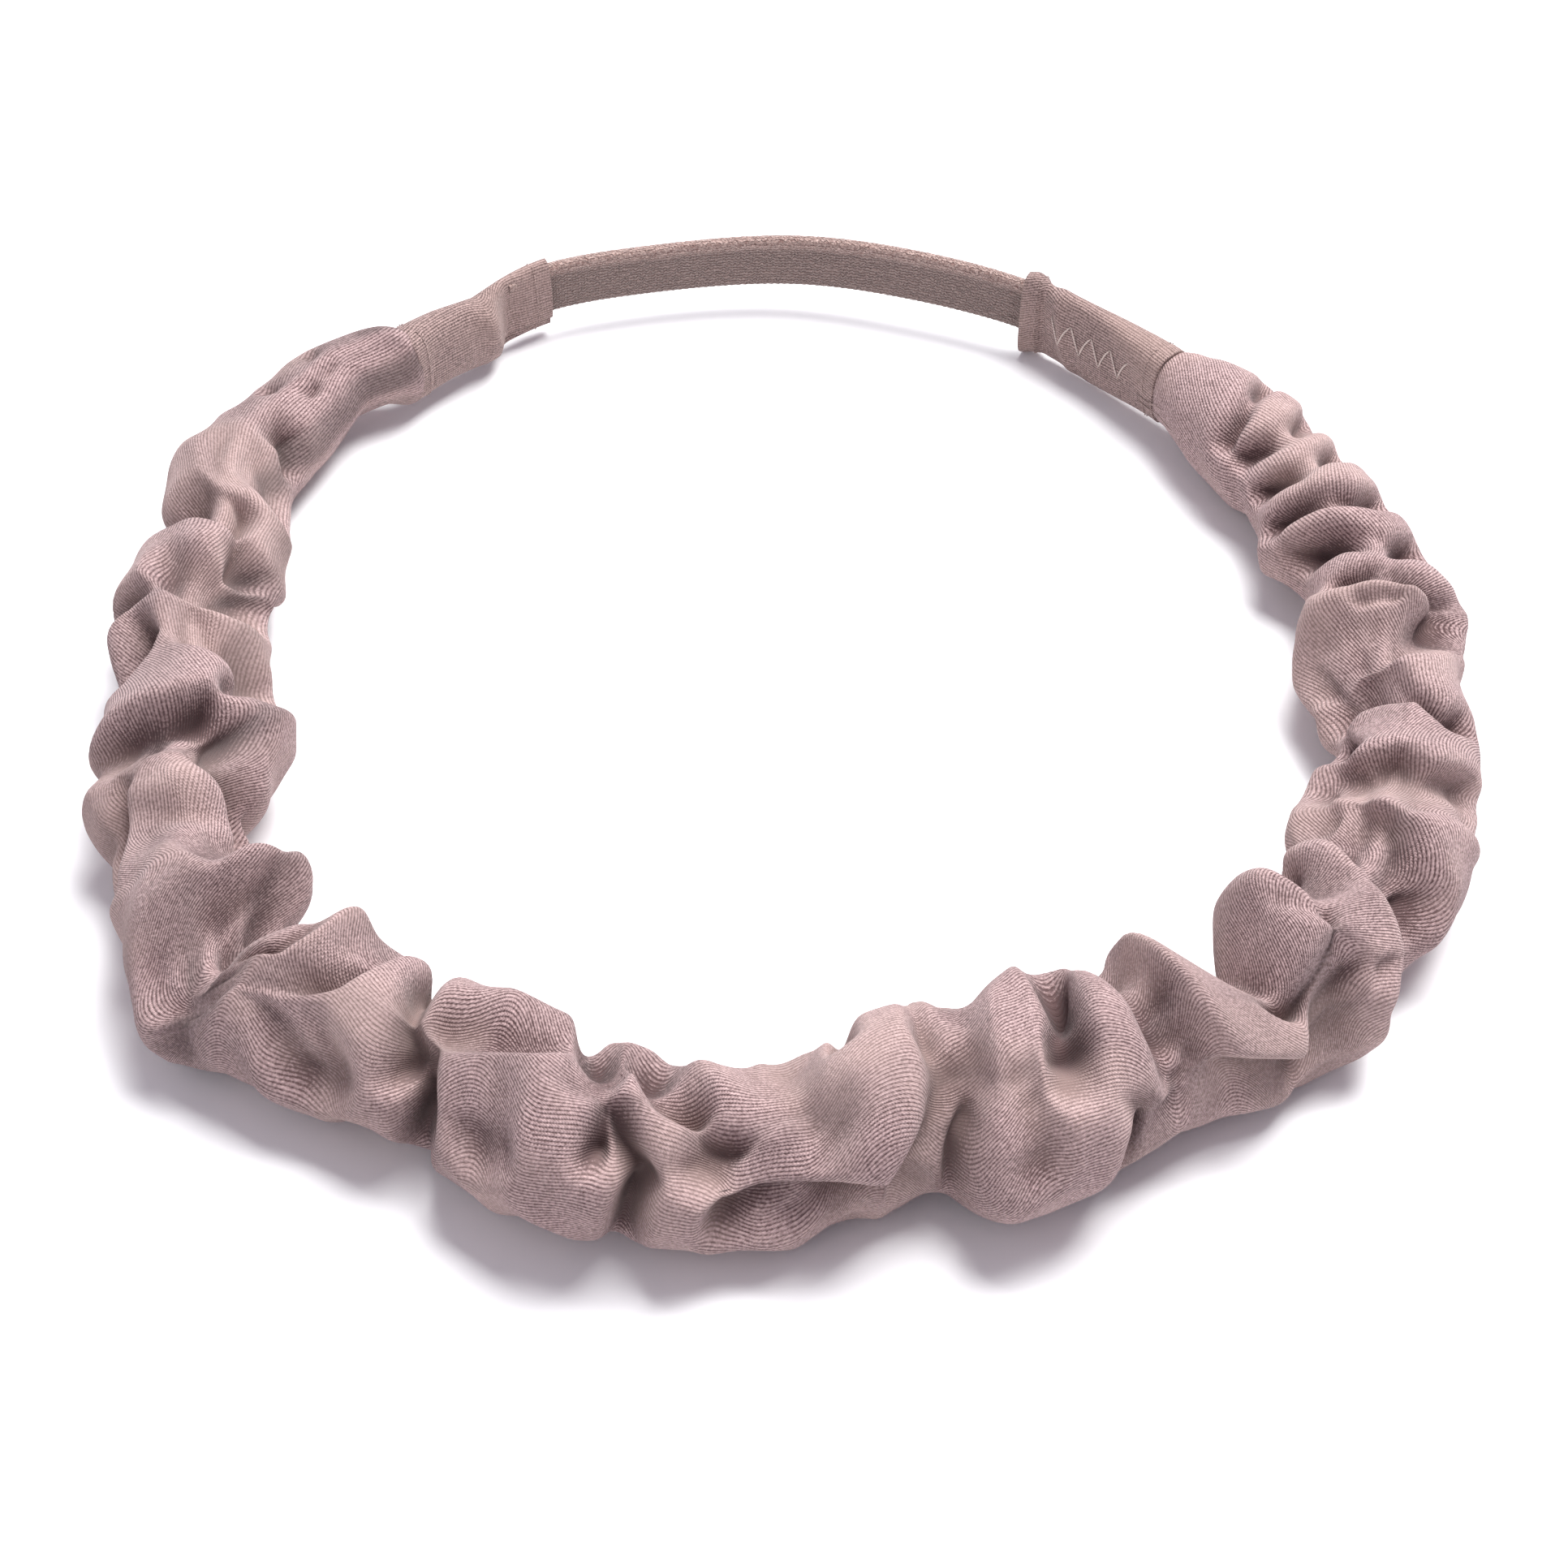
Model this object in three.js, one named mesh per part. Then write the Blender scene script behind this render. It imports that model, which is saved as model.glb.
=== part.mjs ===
// A spa headband: a closed loop that lies on a table. A gathered jersey tube runs round the front
// and both sides, and a plain woven elastic strap closes the loop at the back. A knitted sleeve
// covers each place where the tube meets the strap.
//
// Millimetres, +Z up. The origin is the middle of the loop on the surface that it lies on, the
// elastic strap is at +Y and the front of the band is at -Y.
//
// Every piece follows the same closed centreline. A piece is first extruded straight, with X across
// the band (away from the wearer), Y up and Z along the band, and is then wrapped onto the loop.

import * as THREE from 'three';

// Distances along the band, measured clockwise from the middle of the strap, seen from above.
const STRAP_VISIBLE_HALF = 41;
const SLEEVE_LENGTH = 29;
const STRAP_TUCK = 8;
const END_GAP = 0.4;

// Sections, as half sizes across and up.
const STRAP_HALF_THICKNESS = 0.7;
const STRAP_HALF_WIDTH = 5;
const STRAP_CENTRE_HEIGHT = 9.5;
const SLEEVE_NARROW = { across: 2.3, up: 7.6, centre: 8.9 };
const SLEEVE_WIDE = { across: 4.8, up: 8.8, centre: 9.6 };
const COVER_END = { across: 7.4, up: 9.6, taper: 70 };
const COVER_MIDDLE = { across: 14.6, up: 14.8 };
const COVER_FLAT = 0.88; // the section is cut flat at this share of its half height
const COVER_BORE = 0.67; // the inner face, as a share of the outer one
const BORE_SIDES = 14;
const COVER_STEPS = 60;
const BAND_HALF_THICKNESS = 1.1;
const BAND_HALF_WIDTH = { end: 5.6, middle: 7 };
const BAND_CENTRE_HEIGHT = { end: 8.4, middle: 11 };

const THREAD = 0.5;
const STITCH_LENGTH = 1.2;
const CLEARANCE = 0.3;
const MOTIF = { corners: 9, pitch: 1.8, halfHeight: 1.5 };

// The centreline seen from above, clockwise from the middle of the strap.
const LOOP_POINTS = [
  [0, 102], [20, 98], [40, 90], [49.5, 82], [59, 72.5], [72, 56], [82, 39], [88, 15.5],
  [88, -14], [80, -44.5], [58, -69.5], [29.5, -81], [-7, -85.5], [-40, -80], [-69, -65],
  [-85, -39], [-88, -10.5], [-88.5, 19], [-82.5, 41], [-72, 58.5], [-62, 75], [-51.5, 85.5],
  [-41, 94.5], [-22.5, 100],
];

const loop = new THREE.CatmullRomCurve3(
  LOOP_POINTS.map(([x, y]) => new THREE.Vector3(x, y, 0)), true, 'centripetal',
);
loop.arcLengthDivisions = 1200;
const LOOP_LENGTH = loop.getLength();
const COVER_START = STRAP_VISIBLE_HALF + SLEEVE_LENGTH;
const COVER_LENGTH = LOOP_LENGTH - 2 * COVER_START;
const UP = new THREE.Vector3(0, 0, 1);

function loopFrame(along) {
  const share = THREE.MathUtils.euclideanModulo(along, LOOP_LENGTH) / LOOP_LENGTH;
  const point = loop.getPointAt(share);
  const outward = new THREE.Vector3().crossVectors(UP, loop.getTangentAt(share)).normalize();
  return { point, outward };
}

// sizeAt(along) gives the section's scale across and up, the height of its centre and, for a piece
// that doesn't follow the middle of the band, its shift away from the wearer.
function wrapOntoLoop(geometry, start, sizeAt) {
  const position = geometry.attributes.position;
  for (let i = 0; i < position.count; i += 1) {
    const along = start + position.getZ(i);
    const { point, outward } = loopFrame(along);
    const { across, up, centre, shift = 0 } = sizeAt(along);
    point.addScaledVector(outward, shift + position.getX(i) * across);
    position.setXYZ(i, point.x, point.y, centre + position.getY(i) * up);
  }
  return geometry;
}

function extrudeAlong(shape, length, steps) {
  return new THREE.ExtrudeGeometry(shape, { depth: length, steps, bevelEnabled: false });
}

function rectangle(halfWidth, halfHeight) {
  return new THREE.Shape([
    new THREE.Vector2(-halfWidth, -halfHeight), new THREE.Vector2(halfWidth, -halfHeight),
    new THREE.Vector2(halfWidth, halfHeight), new THREE.Vector2(-halfWidth, halfHeight),
  ]);
}

function roundPoints(count, radius, flat) {
  return Array.from({ length: count }, (_, i) => {
    const angle = (2 * Math.PI * (i + 0.5)) / count;
    return new THREE.Vector2(radius * Math.sin(angle), Math.max(-flat, -radius * Math.cos(angle)));
  });
}

function smoothStep(value) {
  return THREE.MathUtils.smoothstep(value, 0, 1);
}

function fromNearerEnd(along) {
  const inside = along - COVER_START;
  return Math.min(inside, COVER_LENGTH - inside);
}

// The cover swells from its sewn ends to its full section, with a shallow wave from the gathers.
function coverSize(along) {
  const grown = smoothStep(fromNearerEnd(along) / COVER_END.taper);
  const wave = 1 + 0.035 * grown * Math.sin(along / 5.7) + 0.03 * grown * Math.sin(along / 9.3);
  const across = THREE.MathUtils.lerp(COVER_END.across, COVER_MIDDLE.across, grown) * wave;
  const up = THREE.MathUtils.lerp(COVER_END.up, COVER_MIDDLE.up, grown) * wave;
  return { across, up, centre: COVER_FLAT * up };
}

function bandSize(along) {
  const grown = smoothStep(fromNearerEnd(along) / COVER_END.taper);
  const up = THREE.MathUtils.lerp(BAND_HALF_WIDTH.end, BAND_HALF_WIDTH.middle, grown);
  const centre = THREE.MathUtils.lerp(BAND_CENTRE_HEIGHT.end, BAND_CENTRE_HEIGHT.middle, grown);
  return { across: BAND_HALF_THICKNESS, up, centre };
}

// How far a place on either sleeve is from its strap end, from 0 to 1.
function sleeveShare(along) {
  const fromMiddle = Math.abs(along) - STRAP_VISIBLE_HALF;
  return THREE.MathUtils.clamp(fromMiddle / SLEEVE_LENGTH, 0, 1);
}

function sleeveSize(along) {
  const share = sleeveShare(along);
  return {
    across: THREE.MathUtils.lerp(SLEEVE_NARROW.across, SLEEVE_WIDE.across, share ** 1.5),
    up: THREE.MathUtils.lerp(SLEEVE_NARROW.up, SLEEVE_WIDE.up, share),
    centre: THREE.MathUtils.lerp(SLEEVE_NARROW.centre, SLEEVE_WIDE.centre, share),
  };
}

function strapSize() {
  return { across: 1, up: 1, centre: STRAP_CENTRE_HEIGHT };
}

function gatheredCover() {
  const shape = new THREE.Shape(roundPoints(20, 1, COVER_FLAT));
  shape.holes.push(new THREE.Path(roundPoints(BORE_SIDES, COVER_BORE, 1).reverse()));
  return wrapOntoLoop(extrudeAlong(shape, COVER_LENGTH, COVER_STEPS), COVER_START, coverSize);
}

function innerBand() {
  return wrapOntoLoop(extrudeAlong(rectangle(1, 1), COVER_LENGTH, COVER_STEPS), COVER_START, bandSize);
}

// The thread of the seam that closes the jersey strip into a tube, on the outer wall of the bore.
function coverSeam() {
  const sizeAt = (along) => {
    const { across, centre } = coverSize(along);
    const wall = across * COVER_BORE * Math.cos(Math.PI / BORE_SIDES);
    return { across: 1, up: 1, centre, shift: wall - CLEARANCE - THREAD };
  };
  const shape = rectangle(THREAD, 1.5 * THREAD);
  return wrapOntoLoop(extrudeAlong(shape, COVER_LENGTH, COVER_STEPS), COVER_START, sizeAt);
}

// A flattened round outline, half-way between an ellipse and a rectangle.
function sleeveOutline() {
  const flatten = (value) => Math.sign(value) * Math.abs(value) ** 0.6;
  return roundPoints(16, 1, 1).map((p) => new THREE.Vector2(flatten(p.x), flatten(p.y)));
}

// side is 1 for the right sleeve and -1 for the left one.
function endSleeve(side) {
  const shape = new THREE.Shape(sleeveOutline());
  const bore = rectangle(0.52, 0.8).getPoints().reverse();
  shape.holes.push(new THREE.Path(bore));
  const length = SLEEVE_LENGTH - END_GAP;
  const start = side > 0 ? STRAP_VISIBLE_HALF : -STRAP_VISIBLE_HALF - length;
  return wrapOntoLoop(extrudeAlong(shape, length, 7), start, sleeveSize);
}

function backElastic() {
  const half = STRAP_VISIBLE_HALF + STRAP_TUCK;
  const shape = rectangle(STRAP_HALF_THICKNESS, STRAP_HALF_WIDTH);
  return wrapOntoLoop(extrudeAlong(shape, 2 * half, 28), -half, strapSize);
}

// A thread worked right round a piece, as one closed ring. The outline gives half the ring's hole.
function threadRing(outline, ringOutline, along, sizeAt) {
  const shape = new THREE.Shape(ringOutline);
  shape.holes.push(new THREE.Path(outline.reverse()));
  return wrapOntoLoop(extrudeAlong(shape, STITCH_LENGTH, 1), along - STITCH_LENGTH / 2, sizeAt);
}

// The bar of stitches that holds the strap, just outside the sleeve's mouth.
function strapStitches(side) {
  const hole = [STRAP_HALF_THICKNESS + CLEARANCE, STRAP_HALF_WIDTH + CLEARANCE];
  const inside = rectangle(hole[0], hole[1]).getPoints();
  const outside = rectangle(hole[0] + THREAD, hole[1] + THREAD).getPoints();
  const along = side * (STRAP_VISIBLE_HALF - 2);
  return threadRing(inside, outside, along, strapSize);
}

// The row of stitches that closes the sleeve's hem, next to the end of the gathered cover.
function hemStitches(side) {
  const along = side * (COVER_START - 3);
  const size = sleeveSize(Math.abs(along) + STITCH_LENGTH / 2);
  const grow = (extra) => sleeveOutline().map((p) => (
    new THREE.Vector2(p.x * (size.across + extra), p.y * (size.up + extra))
  ));
  const sizeAt = () => ({ across: 1, up: 1, centre: size.centre });
  return threadRing(grow(CLEARANCE), grow(CLEARANCE + THREAD), along, sizeAt);
}

// A plain zigzag worked in pale thread on the inner face of the right sleeve.
function sleeveMotif() {
  const corners = Array.from({ length: MOTIF.corners }, (_, i) => (
    new THREE.Vector2(i * MOTIF.pitch, (i % 2 ? 1 : -1) * MOTIF.halfHeight)
  ));
  const lifted = (dy) => corners.map((p) => new THREE.Vector2(p.x, p.y + dy));
  const shape = new THREE.Shape([...lifted(-THREAD / 2), ...lifted(THREAD / 2).reverse()]);
  const geometry = extrudeAlong(shape, THREAD, 1);
  geometry.rotateY(-Math.PI / 2);
  const length = (MOTIF.corners - 1) * MOTIF.pitch;
  const start = STRAP_VISIBLE_HALF + (SLEEVE_LENGTH - length) / 2;
  const clear = sleeveSize(start + length).across + CLEARANCE;
  geometry.translate(-clear, 0, 0);
  const centre = sleeveSize(start + length / 2).centre;
  return wrapOntoLoop(geometry, start, () => ({ across: 1, up: 1, centre }));
}

const JERSEY = { color: 0xc4a59f, roughness: 0.95 };
const BAND_KNIT = { color: 0x8f7573, roughness: 0.95 };
const SLEEVE_KNIT = { color: 0xa78d88, roughness: 0.93 };
const ELASTIC = { color: 0x9c8380, roughness: 0.88 };
const PALE_THREAD = { color: 0xd9c8c0, roughness: 0.8 };

function piece(name, geometry, look) {
  const mesh = new THREE.Mesh(geometry, new THREE.MeshStandardMaterial({ ...look, metalness: 0 }));
  mesh.name = name;
  return mesh;
}

const headband = new THREE.Group();
headband.add(
  piece('gathered_cover', gatheredCover(), JERSEY),
  piece('inner_band', innerBand(), BAND_KNIT),
  piece('cover_seam', coverSeam(), PALE_THREAD),
  piece('back_elastic', backElastic(), ELASTIC),
  piece('sleeve_motif', sleeveMotif(), PALE_THREAD),
);
for (const [name, side] of [['left', -1], ['right', 1]]) {
  headband.add(
    piece(`${name}_end_sleeve`, endSleeve(side), SLEEVE_KNIT),
    piece(`${name}_strap_stitches`, strapStitches(side), PALE_THREAD),
    piece(`${name}_hem_stitches`, hemStitches(side), PALE_THREAD),
  );
}

const box = new THREE.Box3().setFromObject(headband);
headband.position.set(-(box.min.x + box.max.x) / 2, -(box.min.y + box.max.y) / 2, 0);

export default headband;
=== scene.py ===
"""The looks of a spa headband: a gathered jersey tube, an elastic strap and two knitted sleeves.

Shapes are worked out in millimetres along one closed centreline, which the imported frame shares.
A place on the band has a distance along it, clockwise from the middle of the strap, and an angle
round its section: 0 is the top, 90 faces away from the wearer and -90 faces the wearer.
"""
import math

import bpy
import numpy as np
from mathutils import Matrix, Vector

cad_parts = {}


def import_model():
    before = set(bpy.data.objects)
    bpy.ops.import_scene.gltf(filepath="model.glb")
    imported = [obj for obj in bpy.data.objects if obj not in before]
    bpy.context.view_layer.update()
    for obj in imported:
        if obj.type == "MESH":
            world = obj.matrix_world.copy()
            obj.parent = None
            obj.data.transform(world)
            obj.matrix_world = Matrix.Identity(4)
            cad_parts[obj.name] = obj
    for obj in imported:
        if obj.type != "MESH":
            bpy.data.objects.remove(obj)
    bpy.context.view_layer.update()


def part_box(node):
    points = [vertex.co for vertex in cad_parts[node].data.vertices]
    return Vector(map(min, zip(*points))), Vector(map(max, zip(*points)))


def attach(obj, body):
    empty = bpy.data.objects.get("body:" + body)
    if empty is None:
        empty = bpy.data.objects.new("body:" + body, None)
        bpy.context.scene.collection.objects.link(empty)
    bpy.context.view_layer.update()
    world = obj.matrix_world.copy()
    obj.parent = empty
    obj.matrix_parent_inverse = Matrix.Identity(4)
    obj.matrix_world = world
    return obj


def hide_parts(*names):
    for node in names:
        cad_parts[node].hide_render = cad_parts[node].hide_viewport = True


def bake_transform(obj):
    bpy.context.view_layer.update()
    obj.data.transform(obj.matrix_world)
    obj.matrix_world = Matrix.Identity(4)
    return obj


MM = 0.001
BACK_BODY = "back_strap"

# Distances along the band, in millimetres, as in the frame.
STRAP_HALF = 41.0
SLEEVE_LENGTH = 29.0
SLEEVE_END = STRAP_HALF + SLEEVE_LENGTH
COVER_TUCK = 5.0
STRAP_TUCK = 8.0
BAND_TUCK = 4.0

# Sections of the strap and of the band inside the cover, in millimetres.
STRAP_HALF_THICKNESS = 0.7
STRAP_HALF_WIDTH = 5.0
STRAP_CENTRE = 9.5
BAND_HALF_THICKNESS = 0.8
CAD_BAND_HALF_THICKNESS = 1.1
BAND_HALF_WIDTH = 5.4

# Threads, in millimetres.
STITCH_THICKNESS = 0.17
MOTIF_THICKNESS = 0.3

# The loop's centreline from above, clockwise from the middle of the strap, in millimetres.
LOOP_POINTS = [
    (0, 102), (20, 98), (40, 90), (49.5, 82), (59, 72.5), (72, 56), (82, 39), (88, 15.5),
    (88, -14), (80, -44.5), (58, -69.5), (29.5, -81), (-7, -85.5), (-40, -80), (-69, -65),
    (-85, -39), (-88, -10.5), (-88.5, 19), (-82.5, 41), (-72, 58.5), (-62, 75), (-51.5, 85.5),
    (-41, 94.5), (-22.5, 100),
]

# The cover's mesh and cloth, in millimetres.
COVER_RINGS = 900
COVER_COLUMNS = 150
COVER_THICKNESS = 0.8
WALE_PITCH = 0.54
COURSE_PITCH = 0.5
TABLE_GAP = 0.05

# How the cover folds. Depths are scaled by FOLD_SCALE and kept under FOLD_LIMIT of the radius,
# then valleys are deepened by FOLD_SHARPNESS and crests held within CREST_RISE of what is around
# them. LOPSIDED makes one flank of a valley steeper than the other.
MM_PER_DEGREE = 0.23
FOLD_SCALE = 1.45
FOLD_LIMIT = 0.74
FOLD_SHARPNESS = 0.55
LOPSIDED = 0.35
CREST_RISE = 2.4
CREST_FILL = 0.4
# The cover gets painted shade in its creases, at full strength where it lies this many millimetres
# below what is around it.
PAINTED_SHADE_FULL_DEPTH = 4.0
LEVEL_ROUNDS = 70
RIPPLES = [(15.0, 1.4), (9.7, 1.1), (6.3, 0.3)]

# Valleys that come down past UNDER_FROM degrees go on under the tube to UNDER_TO degrees.
UNDER_FROM, UNDER_TO = 78.0, 128.0
UNDER_SHARE = 0.35

# The cover's outline: distance along, half its thickness, and how far its middle lies outside
# the centreline, in millimetres.
COVER_FORM = [
    (65, 3.3, 0.3), (70.4, 3.7, 0.5), (73, 5.6, 1.6), (76, 7.0, 2.2), (83, 8.6, 2.2),
    (91, 9.2, 2), (98, 8.6, 2.4), (105, 9.2, 1.4), (112, 10.8, -0.4), (122, 9.2, 3.2),
    (128, 9.8, 2.6), (135, 13.4, 1.2), (147, 11.4, -0.8), (160, 9.8, 3.6), (168, 11.6, 1),
    (177, 13.2, 0.2), (188, 12.0, 0), (198, 13.4, -0.6), (208, 15.8, -0.6), (219, 8.8, 0.8),
    (229, 14.0, -7), (238, 13.2, -5.0), (252, 16.2, -3.4), (260, 15.8, -1), (267, 14.8, -6),
    (274, 14.4, -3), (280, 14.0, -2.8), (285, 12.4, -0.6), (297, 12.4, 1.4), (309, 13.4, 0.4),
    (322, 13.8, -0.6), (330, 13.6, -3.2), (340, 12.0, -6.6), (354, 12.4, -5.8), (366, 16.0, -3),
    (371, 12.0, 3.2), (375, 10.4, 5.0), (388, 14.2, -2.6), (400, 9.2, 1.0), (409, 15.0, 4.6),
    (420, 14.2, -0.8), (433, 10.4, -0.2), (447, 12.2, 2.6), (458, 10.6, 0.8), (466, 9.8, 2.2),
    (475, 10.4, 6.5), (484, 8.2, 9), (495, 7.4, 9), (505, 6.4, 8.2), (511, 6.4, 4.4),
    (513, 5.4, 1.8), (515.4, 3.7, 0.8), (520, 3.3, 0.6),
]

# The cover's folds: the width of each valley, then its course as places on the cover (distance
# along, angle) with the depth there, in millimetres and degrees. A valley's place in the list
# decides which of its flanks is the steeper one.
VALLEYS = [
    (2.0, [(84, 60, 2), (86, 20, 3), (89, -20, 3), (90, -60, 2.5)]),
    (2.2, [(92, 70, 2.5), (95, 30, 4), (96, -10, 4), (94, -60, 3)]),
    (2.2, [(101, 65, 3), (103, 20, 4), (104, -20, 4), (101, -70, 3)]),
    (2.4, [(111, -75, 5), (112.5, -20, 6), (115, 25, 5), (113, 70, 3.5)]),
    (2.4, [(118, -75, 5), (120, -25, 6), (124, 15, 5), (122, 65, 3.5)]),
    (2.6, [(130, -50, 6), (130, -15, 6), (133, 30, 6), (134, 75, 4)]),
    (2.2, [(137, -30, 4), (137, 10, 5)]),
    (2.2, [(158, 8, 3), (160, 30, 4), (158, 55, 3)]),
    (3.6, [(148, -75, 4), (146, -40, 6), (146, -8, 7), (145, 25, 5), (140, 75, 6)]),
    (3.0, [(154, -80, 4), (153, -50, 6), (154.5, -12, 6)]),
    (2.6, [(163, -70, 4), (166, -45, 2)]),
    (3.4, [(173, -60, 4), (173, -30, 6), (171.5, -4, 6), (174, 25, 5), (170, 70, 3)]),
    (4.2, [(182, -50, 4), (183, -28, 7), (186, 2, 8), (191, 30, 7), (193, 58, 9), (197, 88, 6)]),
    (2.2, [(189, -32, 5), (194, -4, 5)]),
    (3.0, [(201, -60, 5), (203, -15, 4), (207, 20, 3), (207, 45, 3)]),
    (2.8, [(208, -24, 3), (207, 2, 5)]),
    (2.6, [(209, 15, 3), (219, 20, 3)]),
    (3.2, [(209, 36, 5), (210, 50, 8), (213, 78, 6)]),
    (2.2, [(205, 58, 4), (209, 82, 4)]),
    (2.2, [(202, 74, 2), (205, 96, 3)]),
    (3.6, [(213, 82, 5), (226, 78, 4), (240, 84, 3)]),
    (3.6, [(238, -60, 3), (237, -22, 4), (236.5, 0, 6), (237, 24, 5), (236, 56, 5)]),
    (2.8, [(248, -60, 8), (249, -14, 9), (250, 20, 8), (251, 42, 5)]),
    (2.4, [(244, 62, 2), (244, 90, 5)]),
    (3.4, [(253, -26, 3), (256, -6, 4), (257, 18, 5), (258, 46, 5), (258, 74, 3)]),
    (2.2, [(266, 48, 6), (266, 64, 9), (267, 90, 7)]),
    (3.8, [(266, -60, 2), (268, -18, 5), (267.5, 18, 8), (269.5, 50, 8), (273, 78, 7)]),
    (2.0, [(281, -70, 1), (281, -28, 4)]),
    (3.4, [(290, -40, 2), (289, 4, 3), (288, 20, 2)]),
    (3.6, [(284, 34, 2), (292, 56, 3)]),
    (3.4, [(296, 84, 5), (288, 74, 5), (280, 90, 6)]),
    (3.6, [(296, 8, 2), (298, 28, 6), (300, 46, 5)]),
    (3.0, [(309, -50, 5), (307, -24, 6), (304.5, 0, 7)]),
    (1.9, [(313.5, 12, 4), (314, 52, 7)]),
    (2.3, [(311, 14, 5), (310, 38, 8), (308, 64, 8), (309, 90, 8)]),
    (3.0, [(316, -60, 5), (314, -24, 5), (314, 2, 3)]),
    (4.0, [(328, 30, 2), (327, 60, 3)]),
    (3.6, [(324, -28, 3), (330, -16, 5), (337, 2, 4)]),
    (2.4, [(346, -70, 5), (346, -34, 5), (345.5, 0, 5)]),
    (2.1, [(344.5, 14, 5), (343, 34, 9), (342.5, 56, 8)]),
    (2.6, [(339.5, 28, 5), (338.5, 62, 9), (338.5, 92, 8)]),
    (3.8, [(357, -50, 2), (357, -20, 5), (358, 0, 6), (361, 14, 6), (366, 40, 5)]),
    (4.4, [(356, 78, 4), (361, 62, 5), (364, 86, 3)]),
    (2.2, [(368, -60, 2), (366, -34, 4), (365.5, -4, 7), (370, -8, 4)]),
    (2.8, [(369, 15, 4), (368, 26, 2)]),
    (3.6, [(373, 44, 3), (371, 62, 4), (370, 86, 3)]),
    (4.6, [(381, -60, 4), (379, -30, 6), (378.5, -8, 6), (378, 12, 4), (376, 46, 3)]),
    (3.0, [(392, -60, 6), (392, -26, 4), (389, -4, 3)]),
    (3.2, [(396, -72, 4), (404, -62, 6), (411, -40, 5)]),
    (2.8, [(409, 18, 3), (401, 56, 5), (395, 74, 5)]),
    (2.2, [(407, 38, 3), (404, 58, 5), (403, 84, 3)]),
    (4.0, [(414.5, -52, 8), (416.5, -12, 9), (414, 10, 9), (413, 56, 8), (412, 84, 4)]),
    (2.4, [(425, -48, 4), (424, -26, 4)]),
    (4.2, [(428, -62, 6), (434, -34, 6), (437, -8, 6)]),
    (2.8, [(438, 42, 6), (434, 52, 8), (430, 66, 6)]),
    (3.2, [(446, -72, 6), (447, -46, 8), (447, -16, 6), (448, 14, 4)]),
    (2.2, [(446, 26, 2), (446, 62, 5), (445, 90, 4)]),
    (2.8, [(455, -64, 5), (456, -44, 7), (458, -30, 4)]),
    (2.9, [(465, -26, 6), (466, 20, 8), (463.5, 52, 8), (462, 84, 5)]),
    (4.0, [(474, -70, 4), (477, -42, 4), (475, -4, 3)]),
    (2.4, [(484, -80, 3), (487, -50, 4), (486, -16, 3)]),
    (2.2, [(497, -26, 3), (496, -4, 3), (492, 26, 2)]),
    (2.2, [(502, -20, 2), (504, 30, 1)]),
]


def smooth(value):
    value = np.clip(value, 0.0, 1.0)
    return value * value * (3.0 - 2.0 * value)


def blend_values(low, high, share):
    return low + (high - low) * share


def catmull_rom(points, per_span=40):
    """Centripetal Catmull-Rom curve through a closed list of points."""
    spans = []
    for i in range(len(points)):
        p = [points[(i + k) % len(points)] for k in (-1, 0, 1, 2)]
        gaps = [np.linalg.norm(p[k + 1] - p[k]) ** 0.5 for k in range(3)]
        t = np.cumsum([0.0] + gaps)
        u = np.linspace(t[1], t[2], per_span, endpoint=False)[:, None]

        def mix(a, b, start, end):
            return ((end - u) * a + (u - start) * b) / (end - start)

        first = [mix(p[k], p[k + 1], t[k], t[k + 1]) for k in range(3)]
        second = [mix(first[k], first[k + 1], t[k], t[k + 2]) for k in range(2)]
        spans.append(mix(second[0], second[1], t[1], t[2]))
    return np.vstack(spans)


class Loop:
    """The closed centreline, seen from above, looked up by the distance along it."""

    def __init__(self, shift=(0.0, 0.0)):
        points = catmull_rom(np.array(LOOP_POINTS, float)) + np.array(shift)
        self.points = np.vstack([points, points[:1]])
        gaps = np.linalg.norm(np.diff(self.points, axis=0), axis=1)
        self.distance = np.concatenate([[0.0], np.cumsum(gaps)])
        self.length = self.distance[-1]

    def at(self, along):
        along = np.mod(along, self.length)
        return np.stack([np.interp(along, self.distance, self.points[:, k]) for k in (0, 1)], -1)

    def outward(self, along, reach=1.5):
        tangent = self.at(along + reach) - self.at(along - reach)
        tangent /= np.linalg.norm(tangent, axis=-1, keepdims=True)
        return np.stack([-tangent[..., 1], tangent[..., 0]], -1)

    def place(self, along, across, height):
        """Points at a distance along, an offset outward and a height."""
        flat = self.at(along) + self.outward(along) * np.asarray(across)[..., None]
        return np.stack([flat[..., 0], flat[..., 1], height + 0.0 * flat[..., 0]], -1)


def frame_shift():
    """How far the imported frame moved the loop, from the box of the band inside the cover."""
    low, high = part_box("inner_band")
    plain = Loop()
    along = np.linspace(SLEEVE_END, plain.length - SLEEVE_END, 400)
    edge = np.concatenate([
        plain.place(along, np.full(along.shape, side * CAD_BAND_HALF_THICKNESS), 0.0)[:, :2]
        for side in (-1, 1)
    ])
    middle = 0.5 * (edge.min(0) + edge.max(0))
    return [(low[k] + high[k]) / 2 / MM - middle[k] for k in (0, 1)]


# ---------------------------------------------------------------------------------- mesh helpers


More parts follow.
